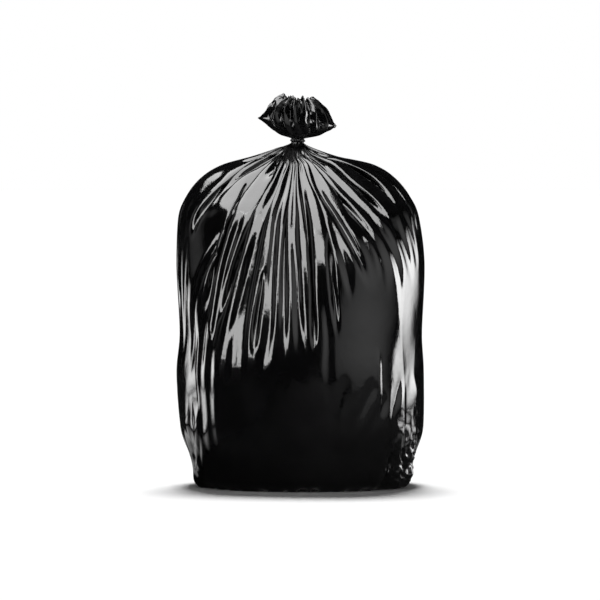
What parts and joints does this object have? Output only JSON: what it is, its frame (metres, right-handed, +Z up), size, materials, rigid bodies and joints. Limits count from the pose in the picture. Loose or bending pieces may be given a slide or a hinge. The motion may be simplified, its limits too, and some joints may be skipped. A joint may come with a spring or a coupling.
{
  "type": "filled refuse sack",
  "caption": "Glossy black refuse sack, filled and standing upright, its mouth gathered into a pleated neck and closed with a narrow tie.",
  "frame": {"origin": "on the floor, under the middle of the sack's widest part", "axes": "+Z up, -Y the front as pictured, +X the right-hand side seen from the front"},
  "size_m": [0.4663, 0.4148, 0.7404],
  "materials": {
    "film": "glossy black polythene film, creased",
    "tie": "plain black plastic strip"
  },
  "bodies": {
    "root": {"filled_sack": "film", "neck_tie": "tie"}
  },
  "joints": []
}
